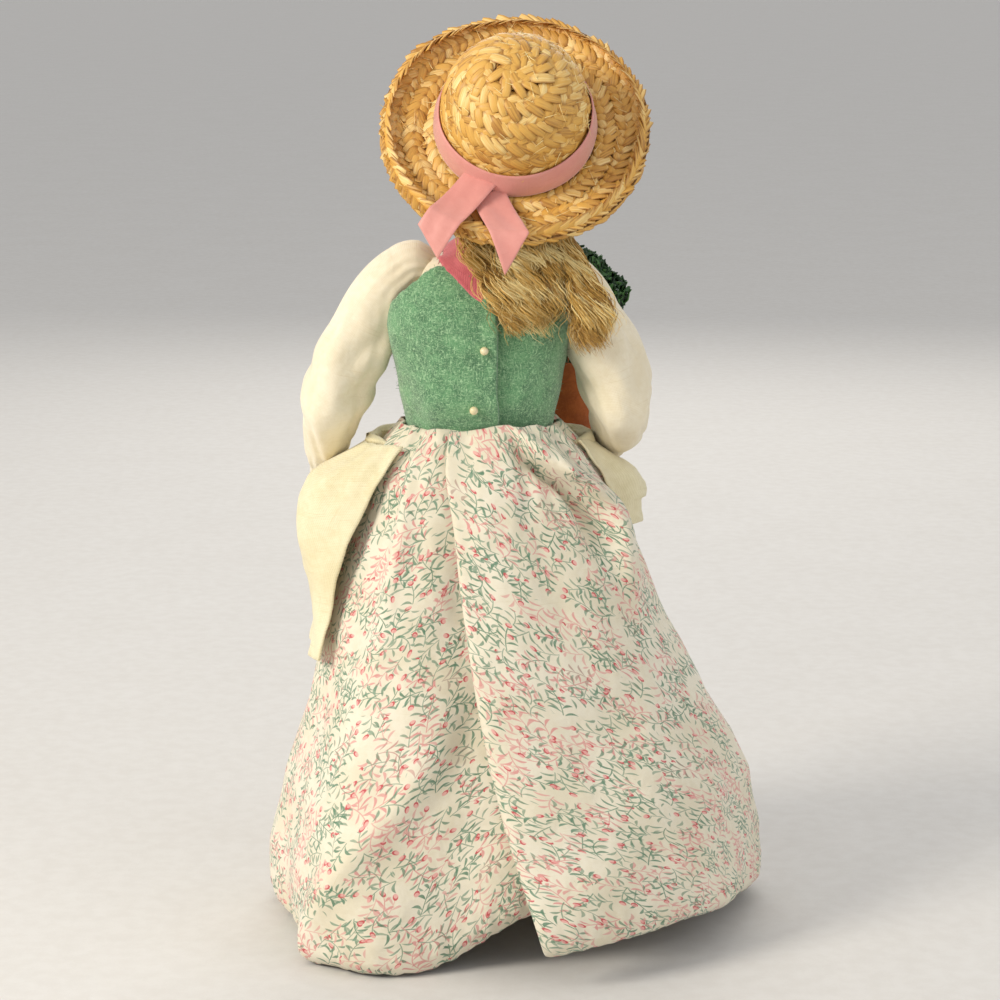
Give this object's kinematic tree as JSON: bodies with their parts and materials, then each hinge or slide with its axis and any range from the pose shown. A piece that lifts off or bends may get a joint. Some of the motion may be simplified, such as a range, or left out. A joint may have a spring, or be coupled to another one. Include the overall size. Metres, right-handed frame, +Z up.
{
  "type": "caroler figurine",
  "caption": "Standing costumed doll figurine in a straw hat, felt vest, puffed sleeves, apron and full printed skirt, carrying a potted plant; its head and arms turn.",
  "frame": {"origin": "on the floor, under the middle of the figure's box", "axes": "+Z up; +Y the way the figure faces; +X towards its right hand"},
  "size_m": [0.1834, 0.169, 0.3284],
  "materials": {
    "muslin": "plain-woven cream cotton, matt",
    "homespun": "coarse slubbed cream cotton, matt",
    "print": "cream cotton with a small leafy print, matt",
    "felt": "fuzzy wool felt",
    "kerchief": "loose pink-red weave, matt",
    "ribbon": "salmon satin ribbon, soft sheen",
    "straw": "plaited straw, soft sheen",
    "hair": "wavy blond fibre",
    "skin": "painted modelling clay, satin",
    "pearl": "pearl bead on a steel pin",
    "terracotta": "unglazed earthenware, matt",
    "soil": "dry soil, matt",
    "leaf": "dark green preserved foliage, matt",
    "wire": "bare armature wire",
    "wrapping": "wound tissue paper, matt",
    "shoe": "dark painted shoe, satin"
  },
  "bodies": {
    "figure": {"left_shoe": "shoe", "right_shoe": "shoe", "left_leg_wire": "wire", "right_leg_wire": "wire", "left_leg_wrap": "wrapping", "right_leg_wrap": "wrapping", "torso_core": "wrapping", "neck_wire": "wire", "blouse_body": "muslin", "vest": "felt", "pearl_pin_upper": "pearl", "pearl_pin_lower": "pearl", "kerchief": "kerchief", "skirt": "print", "apron": "homespun", "apron_band": "homespun", "back_hair": "hair", "shoulder_hair": "hair"},
    "head": {"head": "skin", "hair_cap": "hair", "straw_hat": "straw", "hat_band": "ribbon", "ribbon_tail_left": "ribbon", "ribbon_tail_right": "ribbon"},
    "left_arm": {"left_arm_wire": "wire", "left_arm_wrap": "wrapping", "left_sleeve": "muslin", "left_hand": "skin"},
    "right_arm": {"right_arm_wire": "wire", "right_arm_wrap": "wrapping", "right_sleeve": "muslin", "right_hand": "skin", "flower_pot": "terracotta", "potting_soil": "soil", "plant_stem": "leaf", "plant_foliage": "leaf"}
  },
  "joints": [
    {"name": "head_turn", "type": "hinge", "parent": "figure", "child": "head", "pos_m": [-0.007, -0.002, 0.25], "axis": [0, 0, 1], "range_deg": [-20, 20]},
    {"name": "left_shoulder", "type": "hinge", "parent": "figure", "child": "left_arm", "pos_m": [-0.038, 0, 0.238], "axis": [1, 0, 0], "range_deg": [0, 30]},
    {"name": "right_shoulder", "type": "hinge", "parent": "figure", "child": "right_arm", "pos_m": [0.012, 0, 0.238], "axis": [1, 0, 0], "range_deg": [0, 20]}
  ]
}
